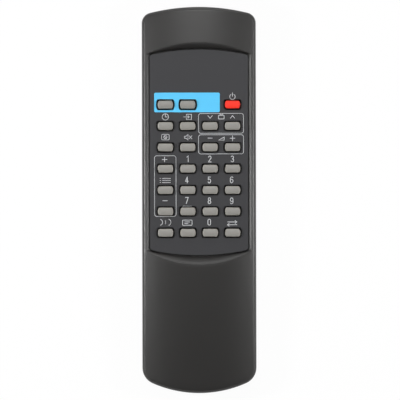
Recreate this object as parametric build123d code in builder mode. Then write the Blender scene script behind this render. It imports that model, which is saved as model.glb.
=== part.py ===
from build123d import *
import os
from math import atan, degrees, radians, sqrt, tan

# A television remote control lying on its back, keys up. Millimetres.
# X runs across the handset, +Y runs towards the infrared end, +Z is up.
# The origin is at the centre of the footprint, on the surface that the handset lies on.

# Keys
key_columns = 4
column_pitch = 10.4
row_pitch = 9.92
key_width = 7.3
key_depth = 3.8
key_bow = 0.55  # how far each rounded end stands out past the corners
key_corner_radius = 0.7
key_bevel = 0.5
key_stand = 1.9  # top of a key above the face plate
key_travel = 1.0
flange_margin = 0.9  # the captive flange past the key above it
flange_thickness = 0.65
flange_gap = 0.3  # between a flange and the deck that holds it down
stud_radius = 1.6
stud_height = 0.2
stop_gap = 0.05  # left between the stud and the board when a key is pressed home
deck_clearance = 0.45  # round a key, in the case
plate_clearance = 0.5  # round a key, in the face plate
mat_clearance = 0.2  # round a flange, in the mat

# Face plate
plate_side_margin = 3.7  # beside the outer columns
plate_head = 25.8  # from the first row up to the plate's upper edge
plate_foot = 10.58
plate_thickness = 1.2
plate_top_arc = 102.0
plate_bottom_arc = 105.0
plate_corner_radius = 1.6
plate_gap = 0.5
plate_proud = 0.25  # the plate's face above the ledge beside it
plate_edge = 0.2  # bevel round the plate's face
opening_edge = 0.12  # bevel round each key's opening
ledge_width = 0.85
rim_width = 2.3
moat_width = 0.9  # groove in the deck, partly under the plate's edge
moat_depth = 0.8

# Case
head_length = 19.9  # from the plate's upper edge to the infrared end
wall = 2.0
deck_thickness = 1.8
parting_height = 10.0
dome_rise = 3.5  # crown of the dome above the face plate, over the middle of the plate
dome_cross_arc = 100.0
dome_long_arc = 1600.0
top_end_arc = 95.0
bottom_end_arc = 54.0
top_corner_radius = 5.0
bottom_corner_radius = 8.0
rim_radius = 1.3
parting_bevel = 0.25  # on both halves, so that a fine groove runs round the parting plane
back_radius = 4.0
side_draft = 2.0
back_draft = 4.0
head_wall_slope = 50.0  # of the recess's two end walls, from level
grip_wall_slope = 50.0
lip_thickness = 0.9
lip_height = 1.0
lip_clearance = 0.15

# Board and mat
board_thickness = 1.6
board_clearance = 0.8  # to the case wall
board_corner_radius = 2.0
mat_thickness = 1.2
mat_margin = 1.4  # past the outer flanges
mat_corner_radius = 2.0
hold_rib_count = 4
hold_rib_width = 1.2
hold_rib_clearance = 0.35  # beside the mat
hold_rib_rows = 2  # rows of keys from one rib to the next
lead_thickness = 0.5

# Screws and bosses
screw_radius = 1.0
screw_head_radius = 2.0
screw_head_height = 1.5
screw_seat_height = 3.0
screw_bite = 4.0  # length held by the upper case
screw_tip = 0.8
screw_slot = 0.5
bore_clearance = 0.15
boss_radius = 3.5
post_radius = 2.3
post_clearance = 0.2
boss_inset = 6.0  # from the plate's side edge towards the middle
head_boss_drop = 10.0  # below the plate's upper edge
grip_boss_rise = 2.8  # above the plate's lower edge
pillar_radius = 1.5
pillar_count = 3
pillar_rows = 2.5  # rows of keys from one pillar to the next

# Battery compartment and its door
cell_radius = 5.25
cell_length = 44.5
cell_button_radius = 1.9
cell_button_height = 1.0
cell_clearance = 0.4
contact_thickness = 0.4
contact_size = 8.6
contact_boss_radius = 1.7
contact_boss_height = 0.8
contact_tab_width = 2.4
contact_tab_reach = 2.6  # over the board
contact_slot_gap = 0.15
cell_edge_radius = 0.5
spring_room = 5.4
spring_wire = 0.5
spring_turns = 3
spring_base_radius = 3.4
spring_tip_radius = 2.4
spring_gap = 0.05
spring_sink = 0.1  # the first turn's hold in its contact plate
box_wall = 1.4
box_roof = 1.0
box_to_deck = 0.3
box_edge_radius = 3.0
box_rib_count = 3
box_rib_width = 1.2
box_rib_drop = 1.4  # below the parting plane
box_to_board = 1.2
board_to_plate_end = 2.2  # board past the plate's lower edge
end_room = 6.5  # from the compartment to the lower end of the handset
door_recess = 0.2  # the door lies this far inside the surface of the back
door_margin = 3.4  # door past the compartment's side walls
door_gap = 0.2
door_overlap = 0.5  # past the compartment, under its end wall
tongue_width = 1.45
tongue_thickness = 0.9
door_bridge = 2.8  # height of the case left above the door's end wall
groove_count = 5
groove_pitch = 2.4
groove_width = 1.0
groove_depth = 0.5
groove_length = 15.0
groove_drop = 9.0  # from the door's inner end to the first groove
arrow_size = 3.0

# Infrared window and diode
window_width = 18.0
window_height = 6.4
window_recess = 0.2
window_gap = 0.12
window_flange = 1.0
window_flange_thickness = 0.7
window_flange_gap = 0.3  # between the flange and the inside of the wall
led_radius = 2.5
led_flange_radius = 2.9
led_flange_thickness = 1.0
led_length = 7.6
led_pitch = 2.54
led_lead_reach = 4.0
led_gap = 0.5  # between the diode and the window
led_board_gap = 0.2

# What is soldered to the board
chip_length = 12.8
chip_width = 7.5
chip_height = 2.3
chip_standoff = 0.1
chip_x = 5.0
chip_drop = 9.0  # below the plate's upper edge
leg_count = 10
leg_pitch = 1.27
leg_width = 0.42
leg_thickness = 0.25
leg_reach = 1.4
leg_foot = 0.7
resonator_length = 7.0
resonator_width = 3.0
resonator_height = 4.5
resonator_edge_radius = 1.0
resonator_x = 6.0
resonator_drop = 20.5
capacitor_radius = 3.15
capacitor_length = 11.0
capacitor_crimp = 0.4
capacitor_x = -7.5
capacitor_drop = 9.0
transistor_width = 4.6
transistor_depth = 3.6
transistor_length = 4.6
transistor_x = -9.0
transistor_drop = 21.0
resistor_size = (3.2, 1.6, 0.6)
resistor_count = 6
resistor_pitch = 3.2
small_capacitor_size = (2.0, 1.3, 0.9)
small_capacitor_count = 4
small_capacitor_pitch = 4.0
small_parts_drop = 30.0  # below the plate's upper edge
small_parts_x = 11.0
component_lead = 0.5
component_lead_reach = 2.5

# Heights: the cells set the deck, the keys' travel hangs the board below it, and the plate lies on it
cell_height = wall + cell_clearance + cell_radius
box_top = cell_height + cell_radius + cell_clearance + box_roof
deck_bottom = box_top + box_to_deck
flange_top = deck_bottom - flange_gap
flange_bottom = flange_top - flange_thickness
stud_bottom = flange_bottom - stud_height
board_top = stud_bottom - key_travel - stop_gap
board_bottom = board_top - board_thickness
deck_top = deck_bottom + deck_thickness
plate_top = deck_top + plate_thickness
ledge_height = plate_top - plate_proud
key_top = plate_top + key_stand
crown_height = plate_top + dome_rise
led_height = board_top + lead_thickness / 2
leg_height = board_bottom - chip_standoff - (chip_height + leg_thickness) / 2
door_end_height = parting_height - door_bridge
box_rib_top = parting_height - box_rib_drop

# Keys, row by row from the infrared end; an empty place holds no key
key_names = [
    ["key_left_function", "key_right_function", "", "key_power"],
    ["key_timer", "key_input", "key_channel_down", "key_channel_up"],
    ["key_picture", "key_mute", "key_volume_down", "key_volume_up"],
    ["key_adjust_up", "key_1", "key_2", "key_3"],
    ["key_menu", "key_4", "key_5", "key_6"],
    ["key_adjust_down", "key_7", "key_8", "key_9"],
    ["key_sound", "key_display", "key_0", "key_recall"],
]

# Lengths along the handset
plate_length = plate_head + (len(key_names) - 1) * row_pitch + plate_foot
compartment_length = cell_length + spring_room + contact_boss_height + 2 * contact_thickness
plate_to_compartment = board_to_plate_end + box_to_board + box_wall
case_length = head_length + plate_length + plate_to_compartment + compartment_length + box_wall + end_room
case_end = case_length / 2
plate_top_y = case_end - head_length
plate_bottom_y = plate_top_y - plate_length
first_row_y = plate_top_y - plate_head
last_row_y = plate_bottom_y + plate_foot
board_bottom_y = plate_bottom_y - board_to_plate_end
compartment_top_y = plate_bottom_y - plate_to_compartment
compartment_bottom_y = compartment_top_y - compartment_length
compartment_mid_y = (compartment_top_y + compartment_bottom_y) / 2
plate_mid_y = (plate_top_y + plate_bottom_y) / 2
keys_mid_y = (first_row_y + last_row_y) / 2
door_top_y = compartment_top_y + door_overlap
window_back = wall + window_flange_gap
led_tip_y = case_end - window_back - window_flange_thickness - led_gap
led_base_y = led_tip_y - led_length
board_top_y = led_base_y - led_board_gap
left_cell_end_y = compartment_top_y - contact_thickness - contact_boss_height
right_cell_end_y = compartment_bottom_y + contact_thickness + contact_boss_height
box_rib_pitch = compartment_length / box_rib_count
hold_rib_pitch = hold_rib_rows * row_pitch
pillar_pitch = pillar_rows * row_pitch
chip_y = plate_top_y - chip_drop
capacitor_y = plate_top_y - capacitor_drop
resonator_y = plate_top_y - resonator_drop
transistor_y = plate_top_y - transistor_drop
small_parts_y = plate_top_y - small_parts_drop

# Widths
keys_width = (key_columns - 1) * column_pitch + key_width
plate_width = keys_width + 2 * plate_side_margin
recess_width = plate_width + 2 * (plate_gap + ledge_width)
case_width = recess_width + 2 * rim_width
compartment_width = 4 * cell_radius + 3 * cell_clearance
cell_x = cell_radius + cell_clearance / 2
door_width = compartment_width + 2 * (box_wall + door_margin)
board_width = case_width - 2 * (wall + board_clearance)
mat_width = keys_width + 2 * (flange_margin + mat_margin)
mat_length = (len(key_names) - 1) * row_pitch + key_depth + 2 * (flange_margin + mat_margin)
hold_rib_reach = case_width / 2 - wall - mat_width / 2 - hold_rib_clearance
hold_rib_spread = mat_width + 2 * hold_rib_clearance + hold_rib_reach

boss_x = plate_width / 2 - boss_inset
boss_points = [
    (side * boss_x, y)
    for y in (plate_top_y - head_boss_drop, plate_bottom_y + grip_boss_rise)
    for side in (-1, 1)
]

os.makedirs("parts", exist_ok=True)


def sagitta(radius, half_chord):
    """Height of an arc above its chord."""
    return radius - sqrt(radius**2 - half_chord**2)


def key_places():
    """Name, x and y of every key, row by row."""
    places = []
    for row, names in enumerate(key_names):
        for column, name in enumerate(names):
            if name:
                x = (column - (key_columns - 1) / 2) * column_pitch
                places.append((name, x, first_row_y - row * row_pitch))
    return places


key_points = [(x, y) for _, x, y in key_places()]


def case_outline(inset=0.0):
    """Plan of the case: straight sides, bowed ends and round corners, drawn inset from its edge."""
    half_width = case_width / 2
    top_shoulder = case_end - sagitta(top_end_arc, half_width)
    bottom_shoulder = sagitta(bottom_end_arc, half_width) - case_end
    with BuildSketch() as outline:
        with BuildLine():
            Line((half_width, bottom_shoulder), (half_width, top_shoulder))
            ThreePointArc((half_width, top_shoulder), (0, case_end), (-half_width, top_shoulder))
            Line((-half_width, top_shoulder), (-half_width, bottom_shoulder))
            ThreePointArc((-half_width, bottom_shoulder), (0, -case_end), (half_width, bottom_shoulder))
        make_face()
        fillet(vertices().group_by(Axis.Y)[-1], top_corner_radius)
        fillet(vertices().group_by(Axis.Y)[0], bottom_corner_radius)
        if inset:
            offset(amount=-inset)
    return outline.sketch


def plate_outline(grow=0.0):
    """Plan of the face plate: a rectangle whose two short ends bow outwards."""
    half_width = plate_width / 2
    top_shoulder = plate_top_y - sagitta(plate_top_arc, half_width)
    bottom_shoulder = plate_bottom_y + sagitta(plate_bottom_arc, half_width)
    with BuildSketch() as outline:
        with BuildLine():
            Line((half_width, bottom_shoulder), (half_width, top_shoulder))
            ThreePointArc((half_width, top_shoulder), (0, plate_top_y), (-half_width, top_shoulder))
            Line((-half_width, top_shoulder), (-half_width, bottom_shoulder))
            ThreePointArc((-half_width, bottom_shoulder), (0, plate_bottom_y), (half_width, bottom_shoulder))
        make_face()
        fillet(vertices(), plate_corner_radius)
        if grow:
            offset(amount=grow)
    return outline.sketch


def key_outline(grow=0.0):
    """Plan of a key: straight long edges and bowed ends, like a barrel on its side."""
    half_width = key_width / 2 + grow
    half_depth = key_depth / 2 + grow
    shoulder = half_width - key_bow
    with BuildSketch() as outline:
        with BuildLine():
            Line((-shoulder, -half_depth), (shoulder, -half_depth))
            ThreePointArc((shoulder, -half_depth), (half_width, 0), (shoulder, half_depth))
            Line((shoulder, half_depth), (-shoulder, half_depth))
            ThreePointArc((-shoulder, half_depth), (-half_width, 0), (-shoulder, -half_depth))
        make_face()
        fillet(vertices(), key_corner_radius)
    return outline.sketch


def key_openings(grow):
    """One key outline at each key, grown on every side."""
    with BuildSketch() as openings:
        with Locations(*key_points):
            add(key_outline(grow))
    return openings.sketch


def dome(drop=0.0):
    """Everything below the double-curved top of the case, lowered by drop; its crest is over the plate."""
    crown = crown_height - drop
    cross_arc = dome_cross_arc - drop
    edge_height = crown - sagitta(cross_arc, case_width)
    swing = Axis((0, plate_mid_y, crown_height - dome_long_arc), (1, 0, 0))
    swing_angle = degrees(2 * case_length / dome_long_arc)
    with BuildPart() as solid:
        with BuildSketch(Plane.XZ.offset(-plate_mid_y)):
            with BuildLine():
                ThreePointArc((-case_width, edge_height), (0, crown), (case_width, edge_height))
                Polyline(
                    (case_width, edge_height),
                    (case_width, 0),
                    (-case_width, 0),
                    (-case_width, edge_height),
                )
            make_face()
        revolve(axis=swing, revolution_arc=swing_angle)
    return solid.part.rotate(swing, -swing_angle / 2)


def plate_recess():
    """What is cut from the dome down to the ledge: upright sides and two slanted, bowed end walls."""
    depth = crown_height - ledge_height
    top_radius = plate_top_arc + plate_gap
    bottom_radius = plate_bottom_arc + plate_gap
    with BuildPart() as cut:
        with BuildSketch(Plane.XY.offset(ledge_height)):
            with Locations((0, plate_mid_y)):
                Rectangle(recess_width, plate_length + 4 * depth)
        extrude(amount=depth)
        with Locations((0, plate_top_y - plate_top_arc, ledge_height)):
            Cone(
                top_radius,
                top_radius + depth / tan(radians(head_wall_slope)),
                depth,
                align=(Align.CENTER, Align.CENTER, Align.MIN),
                mode=Mode.INTERSECT,
            )
        with Locations((0, plate_bottom_y + plate_bottom_arc, ledge_height)):
            Cone(
                bottom_radius,
                bottom_radius + depth / tan(radians(grip_wall_slope)),
                depth,
                align=(Align.CENTER, Align.CENTER, Align.MIN),
                mode=Mode.INTERSECT,
            )
    return cut.part


def upper_hollow():
    """Inside of the upper case: one wall in from the outside, and level under the deck."""
    head_run = (crown_height - deck_top) / tan(radians(head_wall_slope))
    grip_run = (crown_height - deck_top) / tan(radians(grip_wall_slope))
    deck_head_end = plate_top_y + plate_gap + head_run + wall
    deck_grip_end = plate_bottom_y - plate_gap - grip_run - wall
    with BuildPart() as hollow:
        with BuildSketch(Plane.XY.offset(parting_height)):
            add(case_outline(wall))
        extrude(amount=crown_height - parting_height, taper=side_draft)
        add(dome(wall), mode=Mode.INTERSECT)
        with BuildSketch(Plane.XY.offset(deck_bottom)):
            with Locations((0, (deck_head_end + deck_grip_end) / 2)):
                Rectangle(case_width, deck_head_end - deck_grip_end)
        extrude(amount=crown_height, mode=Mode.SUBTRACT)
    return hollow.part


def back_form(inset, depth, edge_radius):
    """Plan of the case drawn inset at the parting plane and drafted down to a flat, rounded back."""
    with BuildPart() as form:
        with BuildSketch():
            add(case_outline(inset))
        extrude(amount=depth, taper=back_draft)
        fillet(faces().sort_by(Axis.Z)[-1].edges(), edge_radius)
    return mirror(form.part, about=Plane.XY, mode=Mode.PRIVATE).moved(Location((0, 0, parting_height)))


def window_opening():
    """The opening for the infrared window in the end wall of both halves of the case."""
    with BuildPart() as opening:
        with BuildSketch(Plane.XY.offset(led_height - window_height / 2 - window_gap)):
            with Locations((0, case_end)):
                Rectangle(window_width + 2 * window_gap, 4 * wall)
        extrude(amount=window_height + 2 * window_gap)
    return opening.part


def cell_room():
    """Room for the two cells: open at the back, with a roof that follows each cell."""
    with BuildPart() as room:
        with BuildSketch(Plane.XY.offset(-wall)):
            with Locations((0, compartment_mid_y)):
                Rectangle(compartment_width, compartment_length)
        extrude(amount=cell_height + wall)
        with BuildSketch(Plane.XZ.offset(-compartment_top_y)):
            with Locations((-cell_x, cell_height), (cell_x, cell_height)):
                Circle(cell_radius + cell_clearance)
        extrude(amount=compartment_length)
        pocket_width = 2 * (cell_x + contact_slot_gap) + contact_size
        pocket_depth = contact_thickness + contact_slot_gap
        with BuildSketch(Plane.XY.offset(-wall)):
            with Locations((0, compartment_mid_y)):
                with GridLocations(0, compartment_length - pocket_depth, 1, 2):
                    Rectangle(pocket_width, pocket_depth)
        extrude(amount=cell_height + contact_size / 2 + contact_slot_gap + wall)
    return room.part


def door_form(grow, bottom):
    """The space of the battery cover: its plate, the tongues along both sides and its end wall."""
    inner_end = door_top_y + grow
    outer_end = -case_end - wall
    box_end = compartment_bottom_y - box_wall
    half_width = door_width / 2 + grow
    half_tongues = half_width + tongue_width
    tongue_bottom = wall - tongue_thickness - grow
    with BuildPart() as form:
        with BuildSketch(Plane.XY.offset(bottom)):
            with Locations((0, (inner_end + outer_end) / 2)):
                Rectangle(2 * half_width, inner_end - outer_end)
        extrude(amount=wall + grow - bottom)
        with BuildSketch(Plane.XY.offset(tongue_bottom)):
            with Locations((0, (inner_end + outer_end) / 2)):
                Rectangle(2 * half_tongues, inner_end - outer_end)
        extrude(amount=wall + grow - tongue_bottom)
        with BuildSketch(Plane.XY.offset(bottom)):
            with Locations((0, (box_end + outer_end) / 2)):
                Rectangle(2 * half_width, box_end - outer_end)
        extrude(amount=door_end_height + grow - bottom)
    return form.part


def coil(base, towards):
    """A conical battery spring along Y that grows from its base point, towards +1 or -1."""
    height = spring_room - spring_wire - spring_gap + spring_sink
    narrowing = atan((spring_base_radius - spring_tip_radius) / height)
    with BuildPart() as spring:
        with BuildLine() as wire_path:
            Helix(
                height / spring_turns,
                height,
                spring_base_radius,
                center=base,
                direction=(0, towards, 0),
                cone_angle=-degrees(narrowing),
            )
        with BuildSketch(Plane(origin=wire_path.line @ 0, z_dir=wire_path.line % 0)):
            Circle(spring_wire / 2)
        sweep(is_frenet=True)
    return spring.part


def contact_plate(x, end_y, towards):
    """A battery contact's square plate against the compartment's end, facing towards +1 or -1 along Y."""
    with BuildPart() as plate:
        with BuildSketch(Plane.XY.offset(cell_height - contact_size / 2)):
            with Locations((x, end_y + towards * contact_thickness / 2)):
                Rectangle(contact_size, contact_thickness)
        extrude(amount=contact_size)
    return plate.part


def contact_tab(x):
    """The tab that rises from a contact plate, passes through the box wall and lies on the board."""
    reach = board_bottom_y + contact_tab_reach - compartment_top_y + contact_thickness
    with BuildPart() as tab:
        with BuildSketch(Plane.XY.offset(cell_height)):
            with Locations((x, compartment_top_y - contact_thickness / 2)):
                Rectangle(contact_tab_width, contact_thickness)
        extrude(amount=board_top + contact_thickness - cell_height)
        with BuildSketch(Plane.XY.offset(board_top)):
            with Locations((x, compartment_top_y - contact_thickness + reach / 2)):
                Rectangle(contact_tab_width, reach)
        extrude(amount=contact_thickness)
    return tab.part


def contact_boss(x, end_y, towards):
    """The raised round that meets a cell's button."""
    with BuildPart() as boss:
        with BuildSketch(Plane.XZ.offset(-end_y)):
            with Locations((x, cell_height)):
                Circle(contact_boss_radius)
        extrude(amount=-towards * (contact_thickness + contact_boss_height))
    return boss.part


# Upper case
with BuildPart() as upper_case:
    with BuildSketch(Plane.XY.offset(parting_height)):
        add(case_outline())
    extrude(amount=crown_height - parting_height, taper=side_draft)
    add(dome(), mode=Mode.INTERSECT)
    fillet(faces().sort_by(Axis.Z)[-1].edges(), rim_radius)
    chamfer(faces().sort_by(Axis.Z)[0].edges(), parting_bevel)
    add(plate_recess(), mode=Mode.SUBTRACT)
    with BuildSketch(Plane.XY.offset(deck_top)):
        add(plate_outline(plate_gap))
    extrude(amount=plate_thickness, mode=Mode.SUBTRACT)
    with BuildSketch(Plane.XY.offset(deck_top - moat_depth)):
        add(plate_outline(plate_gap))
        add(plate_outline(plate_gap - moat_width), mode=Mode.SUBTRACT)
    extrude(amount=moat_depth, mode=Mode.SUBTRACT)
    add(upper_hollow(), mode=Mode.SUBTRACT)
    with BuildSketch(Plane.XY.offset(deck_bottom)):
        add(key_openings(deck_clearance))
    extrude(amount=deck_thickness, mode=Mode.SUBTRACT)
    with BuildSketch(Plane.XY.offset(parting_height - lip_height)):
        add(case_outline(wall - lip_thickness))
        add(case_outline(wall), mode=Mode.SUBTRACT)
    extrude(amount=lip_height)
    with BuildSketch(Plane.XY.offset(board_top)):
        with Locations((0, keys_mid_y)):
            with GridLocations(hold_rib_spread, hold_rib_pitch, 2, hold_rib_count):
                Rectangle(hold_rib_reach, hold_rib_width)
    extrude(amount=deck_bottom - board_top)
    with BuildSketch(Plane.XY.offset(board_bottom)):
        with Locations(*boss_points):
            Circle(post_radius)
    extrude(amount=deck_bottom - board_bottom)
    with BuildSketch(Plane.XY.offset(board_bottom)):
        with Locations(*boss_points):
            Circle(screw_radius + bore_clearance)
    extrude(amount=screw_bite + screw_tip, mode=Mode.SUBTRACT)
    add(window_opening(), mode=Mode.SUBTRACT)
upper_case.part.label = "upper_case"
export_step(upper_case.part, "parts/upper_case.step")

# Lower case, with the battery box, its ribs, the screw bosses and the pillars under the board
with BuildPart() as lower_case:
    add(back_form(0, parting_height, back_radius))
    chamfer(faces().sort_by(Axis.Z)[-1].edges(), parting_bevel)
    add(back_form(wall, parting_height - wall, back_radius - wall), mode=Mode.SUBTRACT)
    with BuildSketch(Plane.XY.offset(parting_height - lip_height - lip_clearance)):
        add(case_outline(wall - lip_thickness - lip_clearance))
    extrude(amount=lip_height + lip_clearance, mode=Mode.SUBTRACT)
    with BuildSketch(Plane.XY.offset(wall)):
        with Locations((0, compartment_mid_y)):
            Rectangle(compartment_width + 2 * box_wall, compartment_length + 2 * box_wall)
    extrude(amount=box_top - wall)
    fillet(edges().filter_by(Axis.Y).group_by(Axis.Z)[-1], box_edge_radius)
    with BuildSketch(Plane.XY.offset(wall)):
        with Locations((0, compartment_mid_y)):
            with GridLocations(0, box_rib_pitch, 1, box_rib_count):
                Rectangle(case_width - 2 * wall, box_rib_width)
    extrude(amount=box_rib_top - wall)
    with BuildSketch(Plane.XY.offset(wall)):
        with Locations(*boss_points):
            Circle(boss_radius)
        with Locations((0, keys_mid_y)):
            with GridLocations(0, pillar_pitch, 1, pillar_count):
                Circle(pillar_radius)
    extrude(amount=board_bottom - wall)
    with Locations(*[Location((x, y, 0), (180, 0, 0)) for x, y in boss_points]):
        CounterBoreHole(
            screw_radius + bore_clearance,
            screw_head_radius + bore_clearance,
            screw_seat_height,
            board_bottom,
        )
    add(cell_room(), mode=Mode.SUBTRACT)
    add(door_form(door_gap, -wall), mode=Mode.SUBTRACT)
    add(window_opening(), mode=Mode.SUBTRACT)
    with BuildSketch(Plane.XY.offset(board_top - contact_slot_gap)):
        with Locations((-cell_x, compartment_top_y), (cell_x, compartment_top_y)):
            Rectangle(contact_tab_width + 2 * contact_slot_gap, 4 * box_wall)
    extrude(amount=contact_thickness + 2 * contact_slot_gap, mode=Mode.SUBTRACT)
lower_case.part.label = "lower_case"
export_step(lower_case.part, "parts/lower_case.step")

# Battery cover: the part of the back and of its end wall that the door form encloses
with BuildPart() as battery_cover:
    add(back_form(0, parting_height, back_radius))
    add(back_form(wall, parting_height - wall, back_radius - wall), mode=Mode.SUBTRACT)
    add(door_form(0, door_recess), mode=Mode.INTERSECT)
    with BuildSketch(Plane.XY.offset(door_recess)):
        with Locations((0, door_top_y - groove_drop - (groove_count - 1) / 2 * groove_pitch)):
            with GridLocations(0, groove_pitch, 1, groove_count):
                SlotOverall(groove_length, groove_width)
        with Locations((0, door_top_y - groove_drop - groove_count * groove_pitch)):
            Polygon((-arrow_size, 0), (0, -arrow_size), (arrow_size, 0))
    extrude(amount=groove_depth, mode=Mode.SUBTRACT)
battery_cover.part.label = "battery_cover"
export_step(battery_cover.part, "parts/battery_cover.step")

# Face plate
with BuildPart() as face_plate:
    with BuildSketch(Plane.XY.offset(deck_top)):
        add(plate_outline())
    extrude(amount=plate_thickness)
    chamfer(faces().sort_by(Axis.Z)[-1].edges(), plate_edge)
    with BuildSketch(Plane.XY.offset(deck_top)):
        add(key_openings(plate_clearance))
    extrude(amount=plate_thickness, mode=Mode.SUBTRACT)
    chamfer([wire.edges() for wire in faces().sort_by(Axis.Z)[-1].inner_wires()], opening_edge)
face_plate.part.label = "face_plate"
export_step(face_plate.part, "parts/face_plate.step")

# Infrared window: a bowed bar in the end wall with a wider flange behind it
with BuildPart() as ir_window:
    with BuildSketch(Plane.XY.offset(led_height - window_height / 2)):
        add(case_outline(window_recess))
        add(case_outline(window_back), mode=Mode.SUBTRACT)
        with Locations((0, case_end)):
            Rectangle(window_width, 4 * wall, mode=Mode.INTERSECT)
    extrude(amount=window_height)
    with BuildSketch(Plane.XY.offset(led_height - window_height / 2 - window_flange)):
        add(case_outline(window_back))
        add(case_outline(window_back + window_flange_thickness), mode=Mode.SUBTRACT)
        with Locations((0, case_end)):
            Rectangle(window_width + 2 * window_flange, 4 * wall, mode=Mode.INTERSECT)
    extrude(amount=window_height + 2 * window_flange)
ir_window.part.label = "ir_window"
export_step(ir_window.part, "parts/ir_window.step")

# Circuit board
with BuildPart() as circuit_board:
    with BuildSketch(Plane.XY.offset(board_bottom)):
        with Locations((0, (board_top_y + board_bottom_y) / 2)):
            RectangleRounded(board_width, board_top_y - board_bottom_y, board_corner_radius)
        with Locations(*boss_points):
            Circle(post_radius + post_clearance, mode=Mode.SUBTRACT)
    extrude(amount=board_thickness)
circuit_board.part.label = "circuit_board"
export_step(circuit_board.part, "parts/circuit_board.step")

# Keypad mat, open round every flange so that the keys reach the board
with BuildPart() as keypad_mat:
    with BuildSketch(Plane.XY.offset(board_top)):
        with Locations((0, keys_mid_y)):
            RectangleRounded(mat_width, mat_length, mat_corner_radius)
        add(key_openings(flange_margin + mat_clearance), mode=Mode.SUBTRACT)
    extrude(amount=mat_thickness)
keypad_mat.part.label = "keypad_mat"
export_step(keypad_mat.part, "parts/keypad_mat.step")

# Keys: a stud, a captive flange and a bevelled barrel-shaped cap
with BuildPart() as key_body:
    with BuildSketch(Plane.XY.offset(stud_bottom)):
        Circle(stud_radius)
    extrude(amount=stud_height)
    with BuildSketch(Plane.XY.offset(flange_bottom)):
        add(key_outline(flange_margin))
    extrude(amount=flange_thickness)
    with BuildSketch(Plane.XY.offset(flange_top)):
        add(key_outline())
    extrude(amount=key_top - flange_top)
    chamfer(faces().sort_by(Axis.Z)[-1].edges(), key_bevel)
for name, x, y in key_places():
    with BuildPart() as key:
        with Locations((x, y)):
            add(key_body.part)
    key.part.label = name
    export_step(key.part, f"parts/{name}.step")

# Infrared diode, lying on the board's end with two leads
with BuildPart() as ir_led:
    with BuildSketch(Plane.YZ):
        with BuildLine():
            Polyline(
                (led_tip_y - led_radius, led_height + led_radius),
                (led_base_y + led_flange_thickness, led_height + led_radius),
                (led_base_y + led_flange_thickness, led_height + led_flange_radius),
                (led_base_y, led_height + led_flange_radius),
                (led_base_y, led_height),
                (led_tip_y, led_height),
            )
            CenterArc((led_tip_y - led_radius, led_height), led_radius, 0, 90)
        make_face()
    revolve(axis=Axis((0, 0, led_height), (0, 1, 0)))
    with BuildSketch(Plane.XY.offset(board_top)):
        with Locations((0, led_base_y - led_lead_reach / 2)):
            with GridLocations(led_pitch, 0, 2, 1):
                Rectangle(lead_thickness, led_lead_reach)
    extrude(amount=lead_thickness)
ir_led.part.label = "ir_led"
export_step(ir_led.part, "parts/ir_led.step")

# Controller chip under the board, with a row of bent legs on each long side
with BuildPart() as chip_leg:
    with BuildSketch(Plane.YZ):
        for side in (-1, 1):
            body = chip_width / 2
            bend = body + leg_reach - leg_foot
            toe = body + leg_reach
            with BuildLine():
                Polyline(
                    (side * body, leg_height),
                    (side * bend, leg_height),
                    (side * bend, board_bottom - leg_thickness),
                    (side * toe, board_bottom - leg_thickness),
                    (side * toe, board_bottom),
                    (side * (bend - leg_thickness), board_bottom),
                    (side * (bend - leg_thickness), leg_height + leg_thickness),
                    (side * body, leg_height + leg_thickness),
                    close=True,
                )
            make_face()
    extrude(amount=leg_width / 2, both=True)
with BuildPart() as controller_chip:
    with BuildSketch(Plane.XY.offset(board_bottom - chip_standoff - chip_height)):
        with Locations((chip_x, chip_y)):
            Rectangle(chip_length, chip_width)
    extrude(amount=chip_height)
    with Locations((chip_x, chip_y)):
        with GridLocations(leg_pitch, 0, leg_count, 1):
            add(chip_leg.part)
controller_chip.part.label = "controller_chip"
export_step(controller_chip.part, "parts/controller_chip.step")

# Ceramic resonator
with BuildPart() as ceramic_resonator:
    with BuildSketch(Plane.XY.offset(board_bottom - resonator_height)):
        with Locations((resonator_x, resonator_y)):
            RectangleRounded(resonator_length, resonator_width, resonator_edge_radius)
    extrude(amount=resonator_height)
ceramic_resonator.part.label = "ceramic_resonator"
export_step(ceramic_resonator.part, "parts/ceramic_resonator.step")

# Filter capacitor: a can lying under the board, crimped near its end, with two leads bent up to the board
with BuildPart() as capacitor_can:
    with BuildSketch():
        with BuildLine():
            Polyline(
                (0, 0),
                (capacitor_radius, 0),
                (capacitor_radius, 2 * capacitor_crimp),
                (capacitor_radius - capacitor_crimp, 3 * capacitor_crimp),
                (capacitor_radius, 4 * capacitor_crimp),
                (capacitor_radius, capacitor_length),
                (0, capacitor_length),
                close=True,
            )
        make_face()
    revolve(axis=Axis.Y)
with BuildPart() as filter_capacitor:
    with Locations((capacitor_x, capacitor_y - capacitor_length / 2, board_bottom - capacitor_radius)):
        add(capacitor_can.part)
    with BuildSketch(Plane.XY.offset(board_bottom - capacitor_radius)):
        with Locations((capacitor_x, capacitor_y - capacitor_length / 2 - component_lead_reach / 2)):
            with GridLocations(led_pitch, 0, 2, 1):
                Rectangle(component_lead, component_lead_reach)
    extrude(amount=component_lead)
    with BuildSketch(Plane.XY.offset(board_bottom - capacitor_radius)):
        with Locations(
            (capacitor_x, capacitor_y - capacitor_length / 2 - component_lead_reach + component_lead / 2)
        ):
            with GridLocations(led_pitch, 0, 2, 1):
                Rectangle(component_lead, component_lead)
    extrude(amount=capacitor_radius)
filter_capacitor.part.label = "filter_capacitor"
export_step(filter_capacitor.part, "parts/filter_capacitor.step")

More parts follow.
